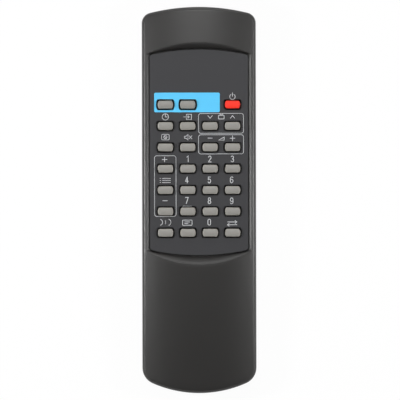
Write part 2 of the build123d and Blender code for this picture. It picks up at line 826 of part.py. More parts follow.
# Driver transistor: a half-round body lying with its flat on the board, and three leads
with BuildPart() as driver_transistor:
    with BuildSketch(Plane.XZ.offset(-transistor_y)):
        with Locations((transistor_x, board_bottom - transistor_depth + transistor_width / 2)):
            Circle(transistor_width / 2)
        with Locations((transistor_x, board_bottom - transistor_depth / 2)):
            Rectangle(transistor_width, transistor_depth, mode=Mode.INTERSECT)
    extrude(amount=transistor_length)
    with BuildSketch(Plane.XY.offset(board_bottom - component_lead)):
        with Locations((transistor_x, transistor_y + component_lead_reach / 2)):
            with GridLocations(leg_pitch, 0, 3, 1):
                Rectangle(component_lead, component_lead_reach)
    extrude(amount=component_lead)
driver_transistor.part.label = "driver_transistor"
export_step(driver_transistor.part, "parts/driver_transistor.step")

# Resistors and ceramic capacitors, each a row of flat chips under the board
with BuildPart() as resistors:
    with BuildSketch(Plane.XY.offset(board_bottom - resistor_size[2])):
        with Locations((-small_parts_x, small_parts_y)):
            with GridLocations(resistor_pitch, 0, resistor_count, 1):
                Rectangle(resistor_size[1], resistor_size[0])
    extrude(amount=resistor_size[2])
resistors.part.label = "resistors"
export_step(resistors.part, "parts/resistors.step")
with BuildPart() as ceramic_capacitors:
    with BuildSketch(Plane.XY.offset(board_bottom - small_capacitor_size[2])):
        with Locations((small_parts_x, small_parts_y)):
            with GridLocations(small_capacitor_pitch, 0, small_capacitor_count, 1):
                Rectangle(small_capacitor_size[1], small_capacitor_size[0])
    extrude(amount=small_capacitor_size[2])
ceramic_capacitors.part.label = "ceramic_capacitors"
export_step(ceramic_capacitors.part, "parts/ceramic_capacitors.step")

# Battery cells, side by side and opposite ways round
with BuildPart() as cell:
    with BuildSketch():
        with BuildLine():
            Polyline(
                (0, 0),
                (cell_radius, 0),
                (cell_radius, cell_length - cell_button_height),
                (cell_button_radius, cell_length - cell_button_height),
                (cell_button_radius, cell_length),
                (0, cell_length),
                close=True,
            )
        make_face()
        fillet(vertices().group_by(Axis.X)[-1], cell_edge_radius)
    revolve(axis=Axis.Y)
with BuildPart() as battery_cell_left:
    with Locations((-cell_x, left_cell_end_y - cell_length, cell_height)):
        add(cell.part)
battery_cell_left.part.label = "battery_cell_left"
export_step(battery_cell_left.part, "parts/battery_cell_left.step")
with BuildPart() as battery_cell_right:
    with Locations(Location((cell_x, right_cell_end_y + cell_length, cell_height), (0, 0, 180))):
        add(cell.part)
battery_cell_right.part.label = "battery_cell_right"
export_step(battery_cell_right.part, "parts/battery_cell_right.step")

# Battery contacts: a plate for the left cell's button and a spring for the right cell at the board's end,
# and one piece with both at the other end, which joins the two cells
first_turn = contact_thickness + spring_wire / 2 - spring_sink
with BuildPart() as plate_contact:
    add(contact_plate(-cell_x, compartment_top_y, -1))
    add(contact_boss(-cell_x, compartment_top_y, -1))
    add(contact_tab(-cell_x))
plate_contact.part.label = "plate_contact"
export_step(plate_contact.part, "parts/plate_contact.step")
with BuildPart() as spring_contact:
    add(contact_plate(cell_x, compartment_top_y, -1))
    add(contact_tab(cell_x))
    add(coil((cell_x, compartment_top_y - first_turn, cell_height), -1))
spring_contact.part.label = "spring_contact"
export_step(spring_contact.part, "parts/spring_contact.step")
with BuildPart() as bridge_contact:
    add(contact_plate(-cell_x, compartment_bottom_y, 1))
    add(contact_plate(0, compartment_bottom_y, 1))
    add(contact_plate(cell_x, compartment_bottom_y, 1))
    add(contact_boss(cell_x, compartment_bottom_y, 1))
    add(coil((-cell_x, compartment_bottom_y + first_turn, cell_height), 1))
bridge_contact.part.label = "bridge_contact"
export_step(bridge_contact.part, "parts/bridge_contact.step")

# Case screws, driven from the back through the lower case into the posts of the upper case
with BuildPart() as screw:
    with BuildSketch(Plane.XZ):
        with BuildLine():
            Polyline(
                (0, screw_seat_height - screw_head_height),
                (screw_head_radius, screw_seat_height - screw_head_height),
                (screw_head_radius, screw_seat_height),
                (screw_radius, screw_seat_height),
                (screw_radius, board_bottom + screw_bite - screw_tip),
                (0, board_bottom + screw_bite),
                close=True,
            )
        make_face()
    revolve(axis=Axis.Z)
    with BuildSketch(Plane.XY.offset(screw_seat_height - screw_head_height)):
        Rectangle(3 * screw_radius, screw_slot)
        Rectangle(screw_slot, 3 * screw_radius)
    extrude(amount=screw_head_height / 2, mode=Mode.SUBTRACT)
with BuildPart() as case_screws:
    with Locations(*boss_points):
        add(screw.part)
case_screws.part.label = "case_screws"
export_step(case_screws.part, "parts/case_screws.step")
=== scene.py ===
from functools import cached_property
from math import atan2, cos, pi, radians, sin, sqrt, tan

import bmesh
import bpy
import numpy as np
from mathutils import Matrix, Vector


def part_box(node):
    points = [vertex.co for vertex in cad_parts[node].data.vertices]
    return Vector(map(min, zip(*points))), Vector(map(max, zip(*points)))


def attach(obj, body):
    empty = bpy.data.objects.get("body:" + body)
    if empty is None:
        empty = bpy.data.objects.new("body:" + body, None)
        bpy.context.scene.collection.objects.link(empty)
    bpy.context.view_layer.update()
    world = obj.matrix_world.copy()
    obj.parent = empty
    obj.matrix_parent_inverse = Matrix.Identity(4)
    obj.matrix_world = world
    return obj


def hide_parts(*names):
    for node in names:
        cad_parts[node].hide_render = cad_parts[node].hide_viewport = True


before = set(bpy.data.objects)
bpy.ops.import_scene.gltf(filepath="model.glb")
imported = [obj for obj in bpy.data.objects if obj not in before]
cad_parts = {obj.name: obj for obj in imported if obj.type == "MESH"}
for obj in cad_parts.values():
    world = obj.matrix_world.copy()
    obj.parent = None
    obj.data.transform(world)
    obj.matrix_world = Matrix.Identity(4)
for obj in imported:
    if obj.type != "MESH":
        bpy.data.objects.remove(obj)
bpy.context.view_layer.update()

bl_info = {
    "name": "Television Remote Control",
    "version": (1, 0, 0),
    "blender": (4, 5, 0),
    "location": "3D View > Sidebar > Remote",
    "description": "Keys, print, finishes and studio for a television remote control",
    "category": "Add Mesh",
}

# Everything is in metres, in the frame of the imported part: +Y towards the infrared end, keys up.
MM = 0.001
PLATE_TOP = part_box("face_plate")[1].z
KEY_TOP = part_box("key_1")[1].z
KEY_NAMES = sorted(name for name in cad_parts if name.startswith("key_"))
SOFT_ANGLE = radians(32)
MERGE_DISTANCE = 0.0002 * MM

# The face plate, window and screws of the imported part
PLATE_TOP_ARC = 102 * MM
PLATE_BOTTOM_ARC = 105 * MM
PLATE_CORNER = 1.6 * MM
WINDOW_HALF = 9 * MM
WINDOW_FLANGE = 1 * MM
SCREW_HEAD = 2 * MM


def plan_of(name):
    """Seen from above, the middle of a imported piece's box and half its size across and along."""
    low, high = (np.array(corner)[:2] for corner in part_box(name))
    return (low + high) / 2, (high - low) / 2


def tone(red, green, blue):
    """A screen colour of 0 to 255 as the linear colour that a shader takes."""
    levels = np.array([red, green, blue]) / 255
    return tuple(np.where(levels <= 0.04045, levels / 12.92, ((levels + 0.055) / 1.055) ** 2.4).tolist())


# Properties


def colour(description, red, green, blue):
    """A colour property whose default is written as a screen colour."""
    return bpy.props.FloatVectorProperty(
        description=description, default=tone(red, green, blue), subtype="COLOR", min=0, max=1
    )


def length(description, millimetres):
    """A length property whose default is written in millimetres."""
    return bpy.props.FloatProperty(
        description=description, default=millimetres * MM, unit="LENGTH", subtype="DISTANCE", min=0
    )


def number(description, default):
    """A property for a plain number."""
    return bpy.props.FloatProperty(description=description, default=default, min=0)


class RemoteColours(bpy.types.PropertyGroup):
    case: colour("Case and battery cover", 40, 39, 38)
    face_plate: colour("Inset plate under the print", 40, 40, 43)
    grey_keys: colour("Grey keys", 137, 135, 130)
    power_key: colour("Red key", 241, 40, 14)
    # Painted highlight: a paler colour along the soft edge of the grey keys' caps, standing in for the light
    # that edge catches
    key_edge_highlight: colour("Soft edge of the grey keys", 172, 168, 158)
    # Painted shade: a near black for the keys and the plate below the plate's face, so that the gaps round
    # the keys and round the plate look dark
    painted_gap_shade: colour("Keys and plate below the face of the plate", 14, 13, 13)
    ink: colour("Digits, symbols and line boxes", 186, 188, 190)
    patch: colour("Printed patch round the first two keys", 84, 195, 243)
    window: colour("Infrared window", 52, 12, 18)
    board: colour("Solder mask of the circuit board", 26, 84, 48)
    cell_sleeve: colour("Printed sleeve of the battery cells", 52, 70, 104)


class CaseShape(bpy.types.PropertyGroup):
    half_width: length("Middle to each side at the parting plane", 26.6)
    reach: length("Middle to each end at the parting plane", 90)
    top_arc: length("Radius of the bowed infrared end", 95)
    bottom_arc: length("Radius of the bowed lower end", 54)
    top_corner: length("Corner radius at the infrared end", 5)
    bottom_corner: length("Corner radius at the lower end", 8)
    parting_plane: length("Height at which the two halves meet", 10)
    parting_bevel: length("Bevel along the parting plane", 0.25)
    rim_radius: length("Round edge between the side and the dome", 1.8)
    crown: length("Height of the dome's crest", 21.1)
    cross_arc: length("Radius of the dome across the handset", 100)
    long_arc: length("Radius of the dome's crest along the handset", 1600)
    wall: length("Wall thickness", 2)
    deck: length("Thickness of the deck under the plate", 1.8)
    plate_gap: length("Gap round the face plate", 0.5)
    plate_proud: length("Face of the plate above the ledge beside it", 0.25)
    side_ledge: length("Width of the ledge beside the plate", 0.85)
    end_ledge: length("Width of the ledge at the plate's ends", 0.12)
    ledge_fall: length("Fall of the ledge towards the plate", 0.3)
    recess_corner: length("Corner radius at the foot of the recess wall", 0.2)
    soft_edge: length("Reach of the round edge of the recess", 0.4)
    soft_foot: length("The same above the grip", 2)
    moat_depth: length("Depth of the groove under the plate's edge", 0.8)
    moat_width: length("Width of the groove under the plate's edge", 0.9)
    hollow_corner: length("Corner radius of the deck's underside", 3)
    lip_height: length("Height of the lip that enters the lower case", 1)
    lip_thickness: length("Thickness of that lip", 0.9)
    opening_gap: length("Gap round a key in the deck", 0.45)
    window_gap: length("Gap round the infrared window", 0.12)
    post_radius: length("Posts that the case screws enter", 2.3)
    post_bore: length("Radius of those posts' bore", 1.15)
    rib: length("Thickness of the ribs over the board", 1.2)
    rib_gap: length("Gap between the mat and a rib", 0.35)


class KeyShape(bpy.types.PropertyGroup):
    bow: length("Bulge of each rounded end past the corners", 0.55)
    corner: length("Radius of the four corners in plan", 0.7)
    edge: length("Radius of the soft edge round the top", 0.55)
    crown: length("Rise of the top from its edge to its middle", 0.12)
    draw_in: length("Inset of the cap's wall by its soft edge", 0.1)
    opening: length("Gap round a cap at the plate's face", 0.62)
    flange_margin: length("Hidden flange past the cap", 0.9)
    flange_thickness: length("Thickness of the hidden flange", 0.65)
    stud_radius: length("Contact stud under the flange", 1.6)
    stud_height: length("Height of the contact stud", 0.2)


class PrintSizes(bpy.types.PropertyGroup):
    film: length("Thickness of the ink above the plate", 0.03)
    sink: length("Depth of the ink inside the plate", 0.02)
    digit_width: length("Width of a digit's centre lines", 1.25)
    digit_height: length("Height of a digit's centre lines", 2.75)
    digit_line: length("Line width of the digits", 0.36)
    symbol_line: length("Line width of the symbols", 0.3)
    box_line: length("Line width of the boxes round keys", 0.24)
    box_corner: length("Corner radius of the line boxes", 1.1)
    thin_line: length("Width of the thin line over key 7", 0.144)
    patch_corner: length("Corner radius of the printed patch", 0.7)
    patch_gap: length("Bare plate round an opening in the patch", 0.05)


class StudioSizes(bpy.types.PropertyGroup):
    camera_height: length("Camera above the floor", 2400)
    camera_across: length("Camera to the right of the middle", 0.42)
    lens: number("Focal length in millimetres", 461.5)
    head_lamp: number("Light level from the lamp past the infrared end", 0.24)
    left_lamp: number("Light level from the left lamp", 0.42)
    right_lamp: number("Light level from the right lamp", 0.32)
    fill_lamp: number("Light level from the low lamp", 0.1)
    sky: number("Light level from all round", 0.04)


GROUPS = {
    "remote_case_shape": CaseShape,
    "remote_colours": RemoteColours,
    "remote_key_shape": KeyShape,
    "remote_print": PrintSizes,
    "remote_studio": StudioSizes,
}


# Curves and surfaces


def points(x, y):
    """Rows of x and y, either of which can be one number for all rows."""
    return np.column_stack(np.broadcast_arrays(x, y))


def circle(angle):
    """Points of a circle of radius 1 at these angles, which are also directions."""
    return points(np.cos(angle), np.sin(angle))


def unit(rows):
    """Each row scaled to a length of 1."""
    return rows / np.linalg.norm(rows, axis=1, keepdims=True)


def barrel(half_width, half_depth, bow=0.0, radius=0.7 * MM, side_steps=8, corner_steps=6):
    """A closed curve like a barrel on its side, counterclockwise from the lower end of its right side.

    The right end is an arc whose middle stands out by bow, or a straight line where bow is 0. Each corner is
    an arc of the given radius that touches the end and the long side. The left half is the right half turned
    by half a turn.
    """
    corner_y = half_depth - radius
    if bow:
        end_radius = (half_depth**2 + bow**2) / (2 * bow)
        end_x = half_width - end_radius
        corner_x = end_x + sqrt((end_radius - radius) ** 2 - corner_y**2)
        turn = atan2(corner_y, corner_x - end_x)
        end = (end_x, 0) + end_radius * circle(np.linspace(-turn, turn, side_steps + 1))
    else:
        corner_x, turn = half_width - radius, 0.0
        end = points(half_width, np.linspace(-corner_y, corner_y, side_steps + 1))
    corner = (corner_x, corner_y) + radius * circle(np.linspace(turn, pi / 2, corner_steps + 1))
    side = points(np.linspace(corner_x, -corner_x, side_steps + 1), half_depth)
    half = np.concatenate((end[:-1], corner[:-1], side[:-1], (corner[::-1] * (-1, 1))[:-1]))
    return np.concatenate((half, -half))


def at_height(curve, height):
    """A flat curve of (x, y) rows as (x, y, z) rows, level at one height or at a height for each point."""
    return np.column_stack((curve, np.broadcast_to(height, len(curve))))


def stacked(*levels):
    """Rings from pairs of a flat curve and its height."""
    return [at_height(curve, height) for curve, height in levels]


def lattice(rings, closed=False):
    """Points and four-sided faces of a surface given as rings of points, each of which closes on itself.

    Face (i, j) joins points j and j + 1 of ring i to the same points of ring i + 1. On a closed surface the
    last ring joins the first one.
    """
    rings = np.asarray(rings, float)
    count, around = rings.shape[:2]
    i, j = np.meshgrid(np.arange(count if closed else count - 1), np.arange(around), indexing="ij")
    ring, next_ring, next_j = i * around, (i + 1) % count * around, (j + 1) % around
    faces = np.stack((ring + j, ring + next_j, next_ring + next_j, next_ring + j), axis=-1)
    return rings.reshape(-1, 3), faces.reshape(-1, 4)


def joined(surfaces):
    """Several pairs of points and faces as one pair."""
    spots, faces = zip(*surfaces)
    starts = np.cumsum([0, *map(len, spots[:-1])])
    return np.concatenate(spots), np.concatenate([part + start for part, start in zip(faces, starts)])


def placed(name, data):
    """A new object in the scene that shows this mesh, lamp or camera."""
    piece = bpy.data.objects.new(name, data)
    bpy.context.scene.collection.objects.link(piece)
    return piece


def new_object(name, surface, finish):
    """A smooth mesh object from points and faces, with its finish."""
    spots, faces = surface
    mesh = bpy.data.meshes.new(name)
    mesh.from_pydata(spots.tolist(), [], faces.tolist())
    mesh.shade_smooth()
    mesh.materials.append(finish)
    return placed(name, mesh)


def solid_piece(name, surface, finish, body="handset", stands_for=()):
    """A closed piece that rides on a body: doubles merged, faces outwards, smooth up to a sharp angle."""
    piece = new_object(name, surface, finish)
    work = bmesh.new()
    work.from_mesh(piece.data)
    bmesh.ops.remove_doubles(work, verts=work.verts, dist=MERGE_DISTANCE)
    bmesh.ops.recalc_face_normals(work, faces=work.faces)
    work.to_mesh(piece.data)
    work.free()
    piece.data.set_sharp_from_angle(angle=SOFT_ANGLE)
    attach(piece, body)
    if stands_for:
        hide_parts(*stands_for)


def dress(finish, *nodes):
    """Gives these CAD nodes a finish and leaves their meshes alone."""
    for node in nodes:
        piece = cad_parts[node]
        piece.data.materials.clear()
        piece.data.materials.append(finish)


# Upper case

# Steps of every ring round the case: each cell of the keypad has CELL_STEPS on a side
CELL_STEPS = 8
COLUMNS, ROWS = 4, 7
CORNER_STEPS = 8
END_STEPS = COLUMNS * CELL_STEPS
SIDE_STEPS = ROWS * CELL_STEPS
# Steps of the infrared end before the window, and as many after it
WINDOW_STEP = 10
# Rings over the recess's soft edge, the dome, the rim and the hollow underneath
EDGE_RINGS, DOME_RINGS, RIM_RINGS, HOLLOW_RINGS = 9, 34, 10, 13

SIDE_DRAFT, HEAD_WALL_SLOPE, FOOT_WALL_SLOPE = (tan(radians(angle)) for angle in (2, 54, 45))
# The soft edge's reach at most, as a share of its wall, and how much of it the dome above the grip gets
SOFT_LIMIT = 0.8
FOOT_SOFT_SHARE = 0.3
# How far in from the side the dome's slope is measured for the rim, and over what distance to either side
RIM_PROBE, PROBE_STEP = 1.2 * MM, 0.05 * MM
# How far posts and ribs run into the deck and the wall, so that no two faces lie in one plane
SUNK = 0.1 * MM
RIB_CORNER = 0.1 * MM
POST_SIDES = 40


def open_shares(steps):
    """Even shares from 0 up to, but not with, 1."""
    return np.linspace(0, 1, steps + 1)[:-1]


def doubled(values):
    """Values along the infrared end with the two at the window's sides given twice."""
    sides = [WINDOW_STEP, END_STEPS - WINDOW_STEP]
    return np.insert(values, sides, values[sides], axis=0)


def bowed_outline(half_width, top, bottom, window=None):
    """A ring with straight sides, bowed ends and round corners, and its outward directions, counterclockwise
    from the foot of its right side.

    Each end is an arc, given as its crown's distance from the middle, its radius and the corners' radius. A
    corner is a circle inside both the arc and the side. The lower half is worked out like the upper one and
    turned by half a turn. The doubled points of the infrared end lie as far from the middle as window says,
    so that the sides of the window's opening are parallel.
    """
    rise = open_shares(CORNER_STEPS)

    def corner_of(crown, arc, corner):
        across = half_width - corner
        along = sqrt((arc - corner) ** 2 - across**2)
        return across, crown - arc + along, atan2(along, across)

    def half_ring(end, other, upper):
        crown, arc, corner = end
        x, y, turn = corner_of(*end)
        start = -corner_of(*other)[1]
        sweep = pi - 2 * turn
        shares = open_shares(END_STEPS)
        if upper:
            if window:
                share = (np.arccos(window / arc) - turn) / sweep
                shares[WINDOW_STEP], shares[END_STEPS - WINDOW_STEP] = share, 1 - share
            shares = doubled(shares)
        spots = [points(half_width, start + (y - start) * open_shares(SIDE_STEPS))]
        ways = [np.tile((1.0, 0.0), (SIDE_STEPS, 1))]
        for centre, radius, angle in (
            ((x, y), corner, turn * rise),
            ((0, crown - arc), arc, turn + sweep * shares),
            ((-x, y), corner, pi - turn + turn * rise),
        ):
            ways.append(circle(angle))
            spots.append(ways[-1] * radius + centre)
        return np.stack((np.concatenate(spots), np.concatenate(ways)))

    return np.concatenate((half_ring(top, bottom, True), -half_ring(bottom, top, False)), axis=1)


def keypad_ring(low, high):
    """A rectangle with a point for each one of bowed_outline. Those of its corners are all in the corner."""
    along, across = open_shares(SIDE_STEPS)[:, None], open_shares(END_STEPS)[:, None]
    corners = np.array([(high[0], low[1]), high, (low[0], high[1]), low])
    sides = along, doubled(across), along, across
    runs = []
    for start, end, shares in zip(corners, np.roll(corners, -1, axis=0), sides):
        runs.append(start + (end - start) * shares)
        runs.append(np.repeat(end[None], CORNER_STEPS, axis=0))
    return np.concatenate(runs)


def end_weights():
    """1 along both bowed ends, 0 along both sides, and a ramp over each corner."""
    side, rise = np.zeros(SIDE_STEPS), open_shares(CORNER_STEPS)
    top, bottom = np.ones(END_STEPS + 2), np.ones(END_STEPS)
    return np.concatenate((side, rise, top, 1 - rise, side, rise, bottom, 1 - rise))


def inner_supports(shape, top, rib_middle, rib_pitch):
    """The posts that the screws enter and the ribs that hold the board down, under the deck.

    A post is a tube: a rectangle turned round an axis beside it, so radius times cosine and sine. A rib is
    an upright box, and there are four on each side.
    """
    board_low, board_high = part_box("circuit_board")
    screws, screw_reach = plan_of("case_screws")
    foot, head = board_low.z, top + SUNK
    round_post = circle(2 * pi * open_shares(POST_SIDES))
    bore, outside = round_post * shape.post_bore, round_post * shape.post_radius
    tube = stacked((bore, foot), (outside, foot), (outside, head), (bore, head))
    post, post_faces = lattice(tube, closed=True)
    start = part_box("keypad_mat")[1].x + shape.rib_gap
    end = shape.half_width - shape.wall + SUNK
    plan = barrel((end - start) / 2, shape.rib / 2, 0, RIB_CORNER, 1, 2)
    rib_foot = board_high.z
    rib, rib_faces = lattice(stacked((0 * plan, rib_foot), (plan, rib_foot), (plan, head), (0 * plan, head)))
    surfaces = [
        (post + (*(screws + (screw_reach - SCREW_HEAD) * corner), 0), post_faces)
        for corner in ((-1, -1), (-1, 1), (1, -1), (1, 1))
    ]
    surfaces += [
        (rib + (side * (start + end) / 2, rib_middle + step * rib_pitch, 0), rib_faces)
        for side in (-1, 1)
        for step in (-1.5, -0.5, 0.5, 1.5)
    ]
    return surfaces


def upper_case_surface(shape, key):
    """The upper case as one chain of rings, and a short chain for every key's opening.

    The chain starts on the deck, goes down and up through the groove under the plate's edge, over the ledge,
    up the recess wall and across the dome to the rim, down the side and back underneath to the deck. The
    dome's height is (crown - R) + sqrt((R - c + sqrt(c^2 - x^2))^2 - (y - m)^2), with R the long arc, c the
    cross arc and m the middle of the plate. The recess wall is slanted at both ends, less steeply above the
    grip. Its soft edge is a quadratic curve through the edge, and reaches further above the grip. The rim is
    an arc that touches the drafted side and the dome: its centre lies one radius inside both.
    """
    plate_low, plate_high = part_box("face_plate")
    deck_top, ledge = plate_low.z, plate_high.z - shape.plate_proud
    deck_bottom = deck_top - shape.deck
    plate_middle = (plate_low.y + plate_high.y) / 2
    opening_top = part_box("ir_window")[1].z - WINDOW_FLANGE + shape.window_gap

    def dome(spots):
        cross = np.sqrt(shape.cross_arc**2 - spots[:, 0] ** 2)
        swing = shape.long_arc - shape.cross_arc + cross
        return shape.crown - shape.long_arc + np.sqrt(swing**2 - (spots[:, 1] - plate_middle) ** 2)

    def on_dome(spots):
        return at_height(spots, dome(spots))

    def case(inset):
        return bowed_outline(
            shape.half_width - inset,
            (shape.reach - inset, shape.top_arc - inset, shape.top_corner - inset),
            (shape.reach - inset, shape.bottom_arc - inset, shape.bottom_corner - inset),
            window=WINDOW_HALF + shape.window_gap,
        )

    def plate(grow_side, grow_end, grow_arc, corner):
        return bowed_outline(
            plate_high.x + grow_side,
            (grow_end + plate_high.y, grow_arc + PLATE_TOP_ARC, corner),
            (grow_end - plate_low.y, grow_arc + PLATE_BOTTOM_ARC, corner),
        )

    ends = end_weights()
    inside = np.zeros(len(ends), bool)
    window_start = SIDE_STEPS + CORNER_STEPS + WINDOW_STEP + 1
    inside[window_start : window_start + END_STEPS - 2 * WINDOW_STEP + 1] = True
    foot = np.where(inside, opening_top, shape.parting_plane)

    middles = {tuple(plan_of(name)[0].round(6).tolist()) for name in KEY_NAMES}
    xs, ys = (sorted(set(values)) for values in zip(*middles))
    first, last = np.array((xs[0], ys[0])), np.array((xs[-1], ys[-1]))
    half_cell = (last - first) / (COLUMNS - 1, ROWS - 1) / 2
    keypad = keypad_ring(first - half_cell, last + half_cell)
    gap, end_gap = shape.plate_gap, shape.plate_gap + shape.end_ledge
    moat_in = gap - shape.moat_width
    moat, _ = plate(moat_in, moat_in, moat_in, PLATE_CORNER)
    pocket, _ = plate(gap, gap, gap, PLATE_CORNER + gap)
    low, high = deck_top - shape.moat_depth, ledge - shape.ledge_fall
    rings = stacked((keypad, deck_top), (moat, deck_top), (moat, low), (pocket, low), (pocket, high))

    # Recess wall: upright beside the plate and slanted at both ends. Where it meets the dome is found in a
    # few rounds
    wall_foot, way = plate(gap + shape.side_ledge, end_gap, end_gap, shape.recess_corner + end_gap)
    foot_end = ends * (wall_foot[:, 1] < plate_middle)
    run = ends / np.where(foot_end, FOOT_WALL_SLOPE, HEAD_WALL_SLOPE)
    rim = wall_foot.copy()
    for _ in range(5):
        rim = wall_foot + way * (run * (dome(rim) - ledge))[:, None]
    foot_points, edge = at_height(wall_foot, ledge), on_dome(rim)
    height = np.linalg.norm(edge - foot_points, axis=1)
    reach = shape.soft_edge + (shape.soft_foot - shape.soft_edge) * foot_end
    softness = np.minimum(reach, SOFT_LIMIT * height)[:, None]
    inner = edge + (foot_points - edge) / height[:, None] * softness
    dome_start = rim + way * softness * (1 - foot_end * (1 - FOOT_SOFT_SHARE))[:, None]
    outer = on_dome(dome_start)
    rings.append(foot_points)
    for share in np.linspace(0, 1, EDGE_RINGS):
        rings.append(inner * (1 - share) ** 2 + edge * 2 * share * (1 - share) + outer * share**2)

    # Rim: the arc between the dome and the side
    spots, way = case(0.0)
    near, far = (dome(spots - way * (RIM_PROBE + step)) for step in (-PROBE_STEP, PROBE_STEP))
    slope = np.arctan2(far - near, 2 * PROBE_STEP)
    draft = atan2(SIDE_DRAFT, 1)
    side_limit = sin(draft) * shape.parting_plane - shape.rim_radius
    dome_limit = np.cos(slope) * (near + far) / 2 - np.sin(slope) * RIM_PROBE - shape.rim_radius
    spread = -np.cos(draft + slope)
    centre_in = (side_limit * np.cos(slope) - sin(draft) * dome_limit) / spread
    centre_up = (np.sin(slope) * side_limit - cos(draft) * dome_limit) / spread
    rim_rings = [
        at_height(
            spots - way * (centre_in - shape.rim_radius * np.cos(tilt))[:, None],
            centre_up + shape.rim_radius * np.sin(tilt),
        )
        for tilt in np.linspace(pi / 2 - slope, draft, RIM_RINGS)
    ]
    rings += [on_dome(across) for across in np.linspace(dome_start, rim_rings[0][:, :2], DOME_RINGS)[1:-1]]
    rings += rim_rings

    # Side, parting plane and lip
    bevel = np.where(inside, 0.0, shape.parting_bevel)
    side_inset = (foot + bevel - shape.parting_plane) * SIDE_DRAFT
    lip_foot = np.where(inside, opening_top, shape.parting_plane - shape.lip_height)
    lip_outer, lip_inner = case(shape.wall - shape.lip_thickness)[0], case(shape.wall)[0]
    side, side_foot = (spots - way * inset[:, None] for inset in (side_inset, side_inset + bevel))
    rings += stacked((side, foot + bevel), (side_foot, foot))
    rings += stacked((lip_outer, foot), (lip_outer, lip_foot), (lip_inner, lip_foot))

    # Inside: up the wall, under the dome at both ends, and down to the deck
    wall_inner, _ = case(shape.wall + (deck_bottom - shape.parting_plane) * SIDE_DRAFT)
    head_run = (shape.crown - deck_top) / HEAD_WALL_SLOPE + gap + shape.wall
    deck_edge, _ = plate(0.0, head_run, shape.hollow_corner, shape.hollow_corner)
    for across in np.linspace(wall_inner, deck_edge, HOLLOW_RINGS):
        rings.append(at_height(across, deck_bottom + ends * (dome(across) - shape.wall - deck_bottom)))
    rings += stacked((deck_edge, deck_bottom), (keypad, deck_bottom))

    # Cells of the keypad: a rectangle of deck with its opening, or a plain one
    cell = barrel(*half_cell, 0, 0.0, CELL_STEPS)
    cap = plan_of("key_1")[1] - key.flange_margin
    opening = barrel(*(cap + shape.opening_gap), key.bow, key.corner, CELL_STEPS)
    pierced = stacked((cell, deck_top), (opening, deck_top), (opening, deck_bottom), (cell, deck_bottom))
    plain = [
        stacked((cell, deck_top), (0 * cell, deck_top)),
        stacked((0 * cell, deck_bottom), (cell, deck_bottom)),
    ]
    surfaces = [lattice(rings)]
    for x in xs:
        for y in ys:
            for chain in [pierced] if (x, y) in middles else plain:
                surfaces.append(lattice([ring + (x, y, 0) for ring in chain]))
    surfaces += inner_supports(shape, deck_bottom, (ys[0] + ys[-1]) / 2, 4 * half_cell[1])
    return joined(surfaces)


# Finishes


def maths_pair(operation):
    """Two methods of a wire that add a Math node, with the wire as its first value and as its second."""
    return (
        lambda self, other: self.maths(operation, self, other),
        lambda self, other: self.maths(operation, other, self),
    )


class Wire:
    """One shader value. Sums, differences and products of wires and numbers add their Math nodes."""

    def __init__(self, finish, socket):
        self.finish = finish
        self.socket = socket

    def maths(self, operation, *values):
        return self.finish.node("Math", {"operation": operation}, dict(enumerate(values)))

    __add__, __radd__ = maths_pair("ADD")
    __sub__, __rsub__ = maths_pair("SUBTRACT")
    __mul__, __rmul__ = maths_pair("MULTIPLY")

    def __abs__(self):
        return self.maths("ABSOLUTE", self)

    def above(self, level, softness):
        """0 below the level and 1 above it, with a ramp as wide as softness."""
        return self.finish.node(
            "MapRange",
            {"interpolation_type": "SMOOTHSTEP"},
            {"Value": self, "From Min": level - softness / 2, "From Max": level + softness / 2},
        )


class Finish:
    """A procedural material in the making."""

    def __init__(self, name):
        self.material = bpy.data.materials.new(name)
        self.material.use_nodes = True
        self.tree = self.material.node_tree
        self.tree.nodes.clear()

    def node(self, kind, settings=None, sockets=None, output=0):
        """Adds a node, sets it up, plugs values or wires into its sockets and returns an output as a wire."""
        node = self.tree.nodes.new("ShaderNode" + kind)
        for setting, value in (settings or {}).items():
            setattr(node, setting, value)
        for socket, value in (sockets or {}).items():
            if isinstance(value, Wire):
                self.tree.links.new(value.socket, node.inputs[socket])
            else:
                node.inputs[socket].default_value = value
        return Wire(self, node.outputs[output]) if node.outputs else None

    @cached_property
    def place(self):
        """The point on the piece, in metres."""
        return self.node("TexCoord", output="Object")

    def axis(self, letter):
        """One coordinate of the point on the piece."""
        return self.node("SeparateXYZ", sockets={0: self.place}, output=letter)

    def noise(self, grain, detail=2.0, roughness=0.5, along=None):
        """Clouds with lumps about grain millimetres wide, which change along times as fast along Y."""
        place = self.place
        if along:
            place = self.node("VectorMath", {"operation": "MULTIPLY"}, {0: place, 1: (1.0, along, 1.0)})
        values = {"Vector": place, "Scale": 1 / (grain * MM), "Detail": detail, "Roughness": roughness}
        return self.node("TexNoise", sockets=values)

    def grains(self, size):
        """The fine grain of a moulded or sprayed surface."""
        return self.noise(size, detail=3.0, roughness=0.6)

    def blend(self, factor, first, second):
        """The first colour where factor is 0 and the second where it is 1."""
        ready = [value if isinstance(value, Wire) else (*value, 1.0) for value in (first, second)]
        return self.node("Mix", {"data_type": "RGBA"}, {0: factor, 6: ready[0], 7: ready[1]}, output=2)

    def mottle(self, factor, shade, low, high):
        """A shade times low where factor is 0 and times high where it is 1."""
        return self.blend(factor, *([min(1.0, channel * size) for channel in shade] for size in (low, high)))

    def close(self, colour, roughness, relief=None, depth=0.0, **sockets):
        """Ends the material in a Principled shader, with a bump of relief times depth in millimetres. Further
        sockets have _ for a space in their names."""
        values = {name.replace("_", " "): value for name, value in sockets.items()}
        if relief is not None:
            values["Normal"] = self.node("Bump", sockets={"Height": relief, "Distance": depth * MM})
        values.update({"Base Color": colour, "Roughness": roughness})
        self.node("OutputMaterial", sockets={"Surface": self.node("BsdfPrincipled", sockets=values)})
        return self.material


